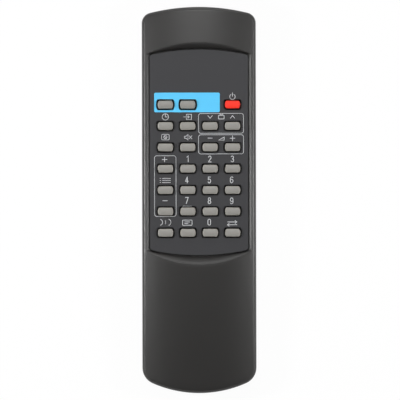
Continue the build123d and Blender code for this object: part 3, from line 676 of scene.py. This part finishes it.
def moulded(name, shade, grain, gloss, depth=0.01, variety=0.12):
    """Moulded plastic or rubber: an even grain in the surface, faint clouds in its colour and gloss."""
    finish = Finish(name)
    grains = finish.grains(grain)
    clouds = finish.noise(40 * grain)
    mottle = finish.mottle(grains * 0.5 + clouds * 0.5, shade, 1 - variety, 1 + variety)
    return finish.close(mottle, gloss + (grains - 0.5) * 0.12, grains, depth)


def key_rubber(name, shade, rim, foot, gloss):
    """Rubber in the key's colour, with the rim colour painted along the cap's soft edge as a highlight, and
    the foot colour painted below the plate's face as the shade in the gap round the key.
    """
    finish = Finish(name)
    grains = finish.grains(0.3)
    height = finish.axis("Z")
    # level: 0 on the cap's soft edge, where the rim colour is a painted highlight, and 1 on its top
    level = height.above(KEY_TOP - 0.26 * MM, 0.2 * MM)
    # sprayed: 1 above the plate's face; below it the foot colour is painted shade in the gap round the key
    sprayed = height.above(PLATE_TOP + 0.2 * MM, 0.4 * MM)
    cap = finish.blend(level, rim, finish.mottle(grains, shade, 0.95, 1.05))
    return finish.close(finish.blend(sprayed, foot, cap), gloss + (grains - 0.5) * 0.1, grains, 0.008)


def plate_plastic(name, shade, edge):
    """Smooth plate: a faint grain on its face, and painted shade in the openings and round its edge, where
    the edge colour darkens the gaps.
    """
    finish = Finish(name)
    grains = finish.grains(0.25)
    # face: 1 on the plate's face; below it the edge colour is painted shade in the key openings and round the
    # plate
    face = finish.axis("Z").above(PLATE_TOP - 0.04 * MM, 0.04 * MM)
    mottle = finish.blend(face, edge, finish.mottle(grains, shade, 0.94, 1.06))
    return finish.close(mottle, 0.5 + (grains - 0.5) * 0.12, grains, 0.008)


def printed_ink(name, shade):
    """Screen-printed ink: slightly uneven cover and a soft gloss."""
    finish = Finish(name)
    cover = finish.noise(0.25)
    return finish.close(finish.mottle(cover, shade, 0.9, 1.06), 0.5 + cover * 0.1, cover, 0.004)


def tinted_window(name, shade):
    """Polished dark plastic that only infrared light passes."""
    finish = Finish(name)
    clouds = finish.noise(3)
    mottle = finish.mottle(clouds, shade, 0.8, 1.0)
    return finish.close(mottle, 0.08 + clouds * 0.06, Coat_Weight=0.5, Coat_Roughness=0.05)


def plated_metal(name, shade, grain, gloss):
    """Plated steel: fine streaks along the piece and a bright sheen."""
    finish = Finish(name)
    streaks = finish.noise(grain, detail=3.0, along=0.15)
    mottle = finish.mottle(streaks, shade, 0.8, 1.0)
    return finish.close(mottle, gloss + streaks * 0.15, streaks, 0.004, Metallic=1.0)


def board_laminate(name, shade):
    """Circuit board: solder mask over copper tracks, with bare laminate at the sawn edges."""
    finish = Finish(name)
    tracks = finish.noise(1.6, detail=0.0, along=0.08)
    copper = abs(tracks - 0.5).above(0.05, 0.02)
    half_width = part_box("circuit_board")[1].x
    sawn = abs(finish.axis("X")).above(half_width - 0.1 * MM, 0.05 * MM)
    base = finish.blend(sawn, finish.mottle(copper, shade, 1.5, 1.0), tone(176, 160, 110))
    return finish.close(base, 0.35 + sawn * 0.4, copper, -0.02)


def cell_sleeve(name, shade):
    """Battery cell: a printed sleeve with one pale band, and bare steel at both ends."""
    finish = Finish(name)
    middle, half = (value[1] for value in plan_of("battery_cell_left"))
    reach = abs(finish.axis("Y") - middle)
    steel = reach.above(half - 1.6 * MM, 0.1 * MM)
    band = abs(reach - 0.55 * half).above(1.2 * MM, 0.1 * MM)
    scuffs = finish.noise(1.5, detail=3.0)
    base = finish.blend(steel, finish.blend(band, tone(205, 205, 200), shade), tone(190, 188, 184))
    return finish.close(base, 0.3 + scuffs * 0.15, Metallic=steel * 0.9)


def lacquered(name, shade, gloss=0.2):
    """Dipped lacquer or cast resin: glossy, with faint clouds."""
    finish = Finish(name)
    clouds = finish.noise(1.2)
    mottle = finish.mottle(clouds, shade, 0.85, 1.1)
    return finish.close(mottle, gloss + clouds * 0.08, clouds, 0.02, Coat_Weight=0.3)


# Keys


def key_surface(name, shape):
    """A key from its stud to its crown, as rings of one barrel-shaped curve.

    The rings go out from the middle of the stud's face, up the round stud, out and up the flange, in to the
    cap and up its wall. The soft edge is a quarter turn: in by r(1 - cos a) and up by r sin a. From there
    each ring shrinks towards a short middle line while the top rises by the crown times 1 - (1 - s) squared.
    """
    low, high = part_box(name)
    middle, reach = plan_of(name)
    half_width, half_depth = reach - shape.flange_margin - shape.draw_in
    cap = barrel(half_width, half_depth, shape.bow, shape.corner)
    flange = barrel(*reach, shape.bow, shape.corner)
    stud = shape.stud_radius * unit(flange / reach)
    stud_top = low.z + shape.stud_height
    flange_top = stud_top + shape.flange_thickness
    edge_top = high.z - shape.crown
    rings = stacked((0 * stud, low.z), (stud, low.z), (stud, stud_top))
    rings += stacked((flange, stud_top), (flange, flange_top), (cap, flange_top))
    end_radius = (half_depth**2 + shape.bow**2) / (2 * shape.bow)
    for turn in np.linspace(0, pi / 2, 7):
        inset = shape.edge * (1 - cos(turn))
        depth, arc_radius = half_depth - inset, end_radius - inset
        bow = arc_radius - sqrt(arc_radius**2 - depth**2)
        rim = barrel(half_width - inset, depth, bow, shape.corner - inset)
        rings.append(at_height(rim, edge_top - shape.edge * (1 - sin(turn))))
    spine = points(np.clip(rim[:, 0], -half_width / 2, half_width / 2), 0)
    for share in np.linspace(0, 1, 7)[1:]:
        rings.append(at_height(rim + (spine - rim) * share, edge_top + shape.crown * (1 - (1 - share) ** 2)))
    return lattice([ring + (*middle, 0) for ring in rings])


class REMOTE_OT_keys(bpy.types.Operator):
    """Makes the 27 keys, each with its stud and flange, and puts each on its own body"""

    bl_idname = "remote.keys"
    bl_label = "Keys"

    def execute(self, context):
        colours = context.scene.remote_colours
        # The rim colour is a painted highlight on the grey keys' edges; the red key's rim is its own colour.
        # The foot colour is painted shade in the gaps round the keys.
        grey = key_rubber("grey_key_rubber", colours.grey_keys, colours.key_edge_highlight, colours.painted_gap_shade, 0.42)
        red = key_rubber("red_key_rubber", colours.power_key, colours.power_key, colours.painted_gap_shade, 0.6)
        for name in KEY_NAMES:
            surface = key_surface(name, context.scene.remote_key_shape)
            finish, slot = (red, "key_red") if name == "key_power" else (grey, "key_grey")
            solid_piece(f"cap_{name}", surface, finish, name, stands_for=[name])
        return {"FINISHED"}


# Print


def arc(centre_x, centre_y, radius_x, radius_y, start, end, steps=14):
    """Part of an ellipse: its centre plus its radii times the cosine and sine of angles, in degrees."""
    angle = np.radians(np.linspace(start, end, steps + 1))
    return (centre_x, centre_y) + (radius_x, radius_y) * circle(angle)


def line(*parts):
    """A line through these points and along these curves. It is closed if it ends where it starts."""
    return np.concatenate([np.atleast_2d(part) for part in parts])


def frame_line(*shape):
    """A closed line round a barrel-shaped frame."""
    curve = barrel(*shape)
    return line(curve, curve[0])


def ink_line(path, width, low, high):
    """A line of ink along a flat path: a box section, half the width to either side of the path.

    At each point the section turns with the path and widens by one over the cosine of half the bend, so that
    corners stay square. An open line ends in half circles: past its end by half the width times sin a, where
    it is the width times cos a wide.
    """
    closed = np.allclose(path[0], path[-1])
    steps = np.diff(path, axis=0)
    if closed:
        path, ahead, behind = path[:-1], steps, np.roll(steps, 1, axis=0)
    else:
        ahead, behind = line(steps, steps[-1]), line(steps[0], steps)
    ahead = unit(ahead)
    along = unit(ahead + unit(behind))
    half = width / 2 / np.clip(np.sum(along * ahead, axis=1, keepdims=True), 0.5, 1)
    if not closed:
        narrow, reach = np.hsplit(width / 2 * circle(np.linspace(0, pi / 2, 5)[1:]), 2)
        path = line(path[0] - reach[::-1] * along[0], path, path[-1] + reach * along[-1])
        half = line(narrow[::-1], half, narrow)
        along = along[[0] * len(reach) + list(range(len(along))) + [-1] * len(reach)]
    side = points(-along[:, 1], along[:, 0]) * half
    corners = stacked((path + side, low), (path + side, high), (path - side, high), (path - side, low))
    return lattice(np.stack(corners, axis=1), closed=closed)


# Each mark: its key, how far right of the key and how far above it in millimetres, and its lines. Those of a
# digit are in a box from -1 to 1 across and -2 to 2 along, and those of a symbol in millimetres
LOOP = arc(0, 0, 1, 1.25, 0, 360)
DIGITS = [
    ("0", (-0.5, 4.9), line(arc(0, 0.9, 1, 1.1, 0, 180), arc(0, -0.9, 1, 1.1, 180, 360)[:-1], (1, 0.9))),
    ("1", (0.1, 4.6), line((-0.75, 1.15), (0.15, 2), (0.15, -2))),
    ("2", (-0.2, 4.5), line(arc(0, 0.95, 0.95, 1.05, 165, -32), (-1, -2)), line((-1, -2), (1, -2))),
    ("3", (-0.1, 4.5), arc(-0.05, 1.05, 0.9, 0.95, 150, -90), arc(-0.05, -0.95, 1, 1.05, 90, -150)),
    ("4", (-0.5, 4.7), line((0.4, 2), (-1, -0.85), (1, -0.85)), line((0.4, 2), (0.4, -2))),
    ("5", (-0.4, 4.7), line((0.85, 2), (-0.7, 2), (-0.8, 0.2)), arc(-0.05, -0.7, 1, 1.3, 138, -150)),
    ("6", (-0.45, 4.7), LOOP - (0, 0.75), line(arc(0.1, 0.75, 1.1, 1.25, 40, 180), (-1, -0.75))),
    ("7", (-0.5, 5.1), line((-1, 2), (1, 2), (-0.35, -2))),
    ("8", (-0.4, 5), arc(0, 1.05, 0.85, 0.95, 0, 360), arc(0, -0.95, 1, 1.05, 0, 360)),
    ("9", (-0.45, 4.9), LOOP + (0, 0.75), line(arc(-0.1, -0.75, 1.1, 1.25, 220, 360), (1, 0.75))),
]
ARROW = [line((-2.2, 0.6), (2.2, 0.6)), line((1.4, 1.25), (2.2, 0.6), (1.4, -0.05))]
CHEVRON = line((-1, -0.6), (0, 0.6), (1, -0.6))
MINUS = line((-1, 0), (1, 0))
PLUS = [line((-1.1, 0), (1.1, 0)), line((0, -1.1), (0, 1.1))]
SYMBOLS = [
    ("power", (0, 3.75), arc(0, -0.1, 1.25, 1.25, 125, 415, 28), line((0, 0.1), (0, 1.7))),
    ("timer", (0, 4.25), arc(0, 0, 1.45, 1.45, 0, 360, 36), line((0, 1.45), (0, 0), (0.85, 0))),
    (
        "input", (0, 4.25),
        line((-0.6, 0.5), (-0.6, 1.2), (1.7, 1.2), (1.7, -1.2), (-0.6, -1.2), (-0.6, -0.5)),
        line((-1.9, 0), (0.7, 0)), line((0.1, 0.6), (0.7, 0), (0.1, -0.6)),
    ),
    ("channel_down", (0, 4.2), CHEVRON * (1, -1)),
    ("channel_down", (5.2, 4.1), frame_line(1.3, 0.85, 0, 0.3), line((-0.7, 1.5), (0, 0.95), (0.7, 1.5))),
    ("channel_up", (0, 4.2), CHEVRON),
    (
        "picture", (0, 4.8),
        frame_line(1.75, 1.3, 0, 0.55), arc(0, 0, 0.75, 0.75, 0, 360, 24), line((-0.5, 0.5), (0.5, -0.5)),
    ),
    (
        "mute", (0, 4.7),
        line((-1.5, 0.45), (-0.8, 0.45), (0.1, 1.3), (0.1, -1.3), (-0.8, -0.45), (-1.5, -0.45), (-1.5, 0.45)),
        line((0.6, 0.7), (1.9, -0.7)), line((0.6, -0.7), (1.9, 0.7)),
    ),
    ("volume_down", (0, 4.3), MINUS),
    ("volume_down", (5.2, 4), line((-1.3, -0.65), (1.3, -0.65), (1.3, 0.75), (-1.3, -0.65))),
    ("volume_up", (0, 4.2), *PLUS),
    ("adjust_up", (-0.4, 4.3), *PLUS),
    ("menu", (-0.1, 4.5), *(
        line((start, height), (end, height))
        for start, end in ((-1.3, 2.4), (-2.4, -2.15))
        for height in (-0.95, 0, 0.95)
    )),
    ("adjust_down", (-0.2, 5), MINUS),
    (
        "sound", (0, 4.9),
        arc(-2.9, 0, 1.5, 1.5, -70, 70), line((0, 0.75), (0, -0.75)), arc(1, 0, 1.5, 1.5, -70, 70),
    ),
    (
        "display", (-0.3, 4.7),
        frame_line(2.2, 1.2, 0, 0.35), line((-1.2, 0.35), (1.2, 0.35)), line((-1.2, -0.4), (0.3, -0.4)),
    ),
    ("recall", (-0.3, 4.4), *ARROW, *((0, -0.1) - path for path in ARROW)),
]

# In millimetres: the middle and half size of each line box, the left, right, lowest and highest edge of the
# patch, and the ends of the thin line over key 7
BOXES = [((10.25, 35.6), 10.45, 4.6), ((10.25, 25.85), 10.45, 4.45), ((-15.7, 6.5), 5, 14.1)]
PATCH_EDGES = (-20.8, 9.7, 40.8, 49.9)
# The thin line over key 7 is a pale stroke in the white ink, just above the upper edge of key 7's opening
THIN_LINE = ((-7.4, -2.8), (-3.4, -2.8))
# How much thicker each line of a mark is than the one before it
LINE_STEP = 0.004 * MM


def marks_surface(marks, scale, width, low, high):
    """Marks as lines of ink above their keys. The lines of a mark differ in thickness, so that no two faces
    lie in one plane where they cross."""
    surfaces = []
    for key, offset, *lines in marks:
        place = plan_of(f"key_{key}")[0] + np.array(offset) * MM
        for index, path in enumerate(lines):
            step = index * LINE_STEP
            surfaces.append(ink_line(path * scale + place, width, low - step, high + step))
    return joined(surfaces)


def patch_surface(sizes, shape, low, high):
    """The printed patch: a band round the opening of each key in it, and a plain part beside them.

    A band's outer and inner curve have the same number of points, corner by corner, so four rings make its
    box section. The plain part's rings close in on its middle.
    """
    left, right, bottom, top = (edge * MM for edge in PATCH_EDGES)
    (first, reach), (second, _) = (plan_of(name) for name in ("key_left_function", "key_right_function"))
    seam = (first[0] + second[0]) / 2
    bare = 2 * second[0] - seam
    grow = shape.opening + sizes.patch_gap - shape.flange_margin
    hole = barrel(*(reach + grow), shape.bow, shape.corner)
    # Each part: its left and right edge, the side on which its corners are round, and the key in it
    parts = (left, seam, -1, first), (seam, bare, 0, second), (bare, right, 1, None)
    surfaces = []
    for start, end, rounded, key in parts:
        half = np.array([end - start, top - bottom]) / 2
        edge = barrel(*half, 0, sizes.patch_corner)
        corner = (np.abs(edge) > half - sizes.patch_corner).all(axis=1)
        sharp = corner & (np.sign(edge[:, 0]) != rounded)
        middle = np.array([start + end, bottom + top]) / 2
        edge = np.where(sharp[:, None], np.sign(edge) * half, edge) + middle
        if key is None:
            spot = edge * 0 + middle
            section = stacked((spot, low), (edge, low), (edge, high), (spot, high))
        else:
            section = stacked((hole + key, low), (hole + key, high), (edge, high), (edge, low))
        surfaces.append(lattice(section, closed=key is not None))
    return joined(surfaces)


class REMOTE_OT_print(bpy.types.Operator):
    """Prints the blue patch, digits, symbols and line boxes on the face plate"""

    bl_idname = "remote.print_marks"
    bl_label = "Print"

    def execute(self, context):
        sizes = context.scene.remote_print
        colours = context.scene.remote_colours
        film = PLATE_TOP - sizes.sink, PLATE_TOP + sizes.film
        patch = patch_surface(sizes, context.scene.remote_key_shape, *film)
        solid_piece("print_patch", patch, printed_ink("blue_ink", colours.patch))
        ink = printed_ink("white_ink", colours.ink)
        scale = np.array([sizes.digit_width / 2, sizes.digit_height / 4])
        solid_piece("print_digits", marks_surface(DIGITS, scale, sizes.digit_line, *film), ink)
        solid_piece("print_symbols", marks_surface(SYMBOLS, MM, sizes.symbol_line, *film), ink)
        boxes = [ink_line(line(*THIN_LINE) * MM, sizes.thin_line, *film)]
        for middle, half_width, half_depth in BOXES:
            edge = frame_line(half_width * MM, half_depth * MM, 0, sizes.box_corner)
            boxes.append(ink_line(edge + np.array(middle) * MM, sizes.box_line, *film))
        solid_piece("print_line_boxes", joined(boxes), ink)
        return {"FINISHED"}


# Case and inside


class REMOTE_OT_case(bpy.types.Operator):
    """Makes the upper case and finishes it, the lower case, battery cover, face plate and infrared window"""

    bl_idname = "remote.case"
    bl_label = "Case and plate"

    def execute(self, context):
        colours = context.scene.remote_colours
        case = moulded("case_plastic", colours.case, 0.32, 0.36, 0.02, 0.1)
        surface = upper_case_surface(context.scene.remote_case_shape, context.scene.remote_key_shape)
        solid_piece("upper_shell", surface, case, stands_for=["upper_case"])
        dress(case, "lower_case", "battery_cover")
        # The plate's openings and edge get the same near-black painted shade as the keys below the plate's
        # face
        dress(plate_plastic("plate_plastic", colours.face_plate, colours.painted_gap_shade), "face_plate")
        dress(tinted_window("window_plastic", colours.window), "ir_window")
        return {"FINISHED"}


class REMOTE_OT_inside(bpy.types.Operator):
    """Finishes the board, its components, the mat, cells, contacts and screws"""

    bl_idname = "remote.inside"
    bl_label = "Inside"

    def execute(self, context):
        colours = context.scene.remote_colours
        dress(board_laminate("board_laminate", colours.board), "circuit_board")
        dress(moulded("mat_rubber", tone(120, 120, 118), 0.4, 0.6), "keypad_mat")
        dress(lacquered("led_resin", tone(70, 62, 92), 0.08), "ir_led")
        dress(moulded("component_resin", tone(32, 32, 33), 0.2, 0.5), "controller_chip", "driver_transistor")
        dress(lacquered("resonator_lacquer", tone(190, 104, 30)), "ceramic_resonator")
        dress(lacquered("capacitor_sleeve", tone(40, 52, 112)), "filter_capacitor")
        dress(moulded("fired_ceramic", tone(150, 118, 84), 0.2, 0.45), "resistors", "ceramic_capacitors")
        dress(cell_sleeve("cell_sleeve", colours.cell_sleeve), "battery_cell_left", "battery_cell_right")
        nickel = plated_metal("nickel_plate", tone(214, 210, 200), 0.3, 0.2)
        dress(nickel, "plate_contact", "spring_contact", "bridge_contact")
        dress(plated_metal("zinc_plate", tone(150, 150, 154), 0.25, 0.3), "case_screws")
        return {"FINISHED"}


# Studio: the backdrop's sizes in metres, the floor's distance under the object, and the camera's turn
FLOOR_RADIUS, CURVE_RADIUS, WALL_HEIGHT = 6.6, 2.4, 7.8
FLOOR_DROP = 0.02 * MM
CAMERA_TURN = radians(-0.12)
VIEW_DEPTH = 50
WHITE = (1.0, 1.0, 1.0, 1.0)


def bowl_surface(around=96):
    """Floor and backdrop in one: a disc, a quarter-round rise and an upright wall, turned round Z."""
    turn = np.linspace(-pi / 2, 0, 13)
    out = [0, *(FLOOR_RADIUS + CURVE_RADIUS * np.cos(turn)), FLOOR_RADIUS + CURVE_RADIUS]
    up = [0, *(CURVE_RADIUS * (1 + np.sin(turn))), WALL_HEIGHT]
    ring = circle(2 * pi * open_shares(around))
    return lattice([at_height(ring * radius, height - FLOOR_DROP) for radius, height in zip(out, up)])


def studio_white(name, share=0.96):
    """White that a camera or a reflection sees as plain white, darkened only where the object shades it."""
    finish = Finish(name)
    camera, glossy, through = (
        finish.node("LightPath", output=f"Is {ray} Ray") for ray in ("Camera", "Glossy", "Transmission")
    )
    direct = camera.maths("MAXIMUM", camera, glossy.maths("MAXIMUM", glossy, through))
    glow = finish.node("Emission", sockets={"Color": WHITE, "Strength": 1.0})
    card = finish.node("BsdfDiffuse", sockets={"Color": (0.9, 0.9, 0.9, 1.0)})
    mixed = finish.node("MixShader", sockets={0: direct * share, 1: card, 2: glow})
    finish.node("OutputMaterial", sockets={"Surface": mixed})
    return finish.material


def lamp(name, place, width, height, level):
    """A soft lamp aimed at the object. Its power is the level times pi squared times its distance squared,
    over the cosine of its angle from overhead, so that a level of 1 shows a colour as it is written."""
    light = bpy.data.lights.new(name, "AREA")
    light.shape = "RECTANGLE"
    light.size, light.size_y = width, height
    place = Vector(place)
    light.energy = level * pi**2 * place.length**3 / place.z
    piece = placed(name, light)
    piece.location = place
    piece.rotation_mode = "QUATERNION"
    piece.rotation_quaternion = place.to_track_quat("Z", "Y")


class REMOTE_OT_studio(bpy.types.Operator):
    """Sets up the floor, lamps and camera of a plain white studio"""

    bl_idname = "remote.studio"
    bl_label = "Studio"

    def execute(self, context):
        scene = context.scene
        sizes = scene.remote_studio
        new_object("studio_floor", bowl_surface(), studio_white("studio_white"))
        lamp("head_lamp", (-0.02, 0.45, 1.35), 0.6, 0.25, sizes.head_lamp)
        lamp("left_lamp", (-0.39, 0.0, 0.37), 0.06, 0.12, sizes.left_lamp)
        lamp("right_lamp", (0.39, 0.0, 0.37), 0.06, 0.14, sizes.right_lamp)
        lamp("fill_lamp", (0, 0.85, 0.5), 0.8, 0.4, sizes.fill_lamp)
        scene.world = bpy.data.worlds.new("studio_sky")
        scene.world.use_nodes = True
        sky = scene.world.node_tree.nodes["Background"]
        sky.inputs["Color"].default_value = WHITE
        sky.inputs["Strength"].default_value = sizes.sky
        scene.view_settings.view_transform = "Standard"
        camera = bpy.data.cameras.new("camera")
        camera.lens = sizes.lens
        camera.sensor_width = 36
        camera.clip_end = VIEW_DEPTH
        viewer = placed("camera", camera)
        viewer.location = (sizes.camera_across, 0, sizes.camera_height)
        viewer.rotation_euler = (0, 0, CAMERA_TURN)
        scene.camera = viewer
        return {"FINISHED"}


STEPS = [REMOTE_OT_case, REMOTE_OT_inside, REMOTE_OT_keys, REMOTE_OT_print, REMOTE_OT_studio]


class REMOTE_PT_sidebar(bpy.types.Panel):
    """Lists the sizes, colours and steps of the remote control"""

    bl_idname = "REMOTE_PT_sidebar"
    bl_label = "Television Remote Control"
    bl_space_type = "VIEW_3D"
    bl_region_type = "UI"
    bl_category = "Remote"

    def draw(self, context):
        for step in STEPS:
            self.layout.operator(step.bl_idname)
        for group, kind in GROUPS.items():
            box = self.layout.box()
            for name in kind.__annotations__:
                box.prop(getattr(context.scene, group), name)


def register():
    """Names each property after its field, such as Half width for half_width, then registers every class."""
    for group in GROUPS.values():
        for field, value in group.__annotations__.items():
            value.keywords["name"] = field.replace("_", " ").capitalize()
    for kind in [*GROUPS.values(), *STEPS, REMOTE_PT_sidebar]:
        bpy.utils.register_class(kind)
    for name, group in GROUPS.items():
        setattr(bpy.types.Scene, name, bpy.props.PointerProperty(type=group))


def unregister():
    for name in GROUPS:
        delattr(bpy.types.Scene, name)
    for kind in reversed([*GROUPS.values(), *STEPS, REMOTE_PT_sidebar]):
        bpy.utils.unregister_class(kind)


def main():
    """Runs every step in order."""
    register()
    bpy.ops.remote.case()
    bpy.ops.remote.inside()
    bpy.ops.remote.keys()
    bpy.ops.remote.print_marks()
    bpy.ops.remote.studio()


if __name__ == "__main__":
    main()
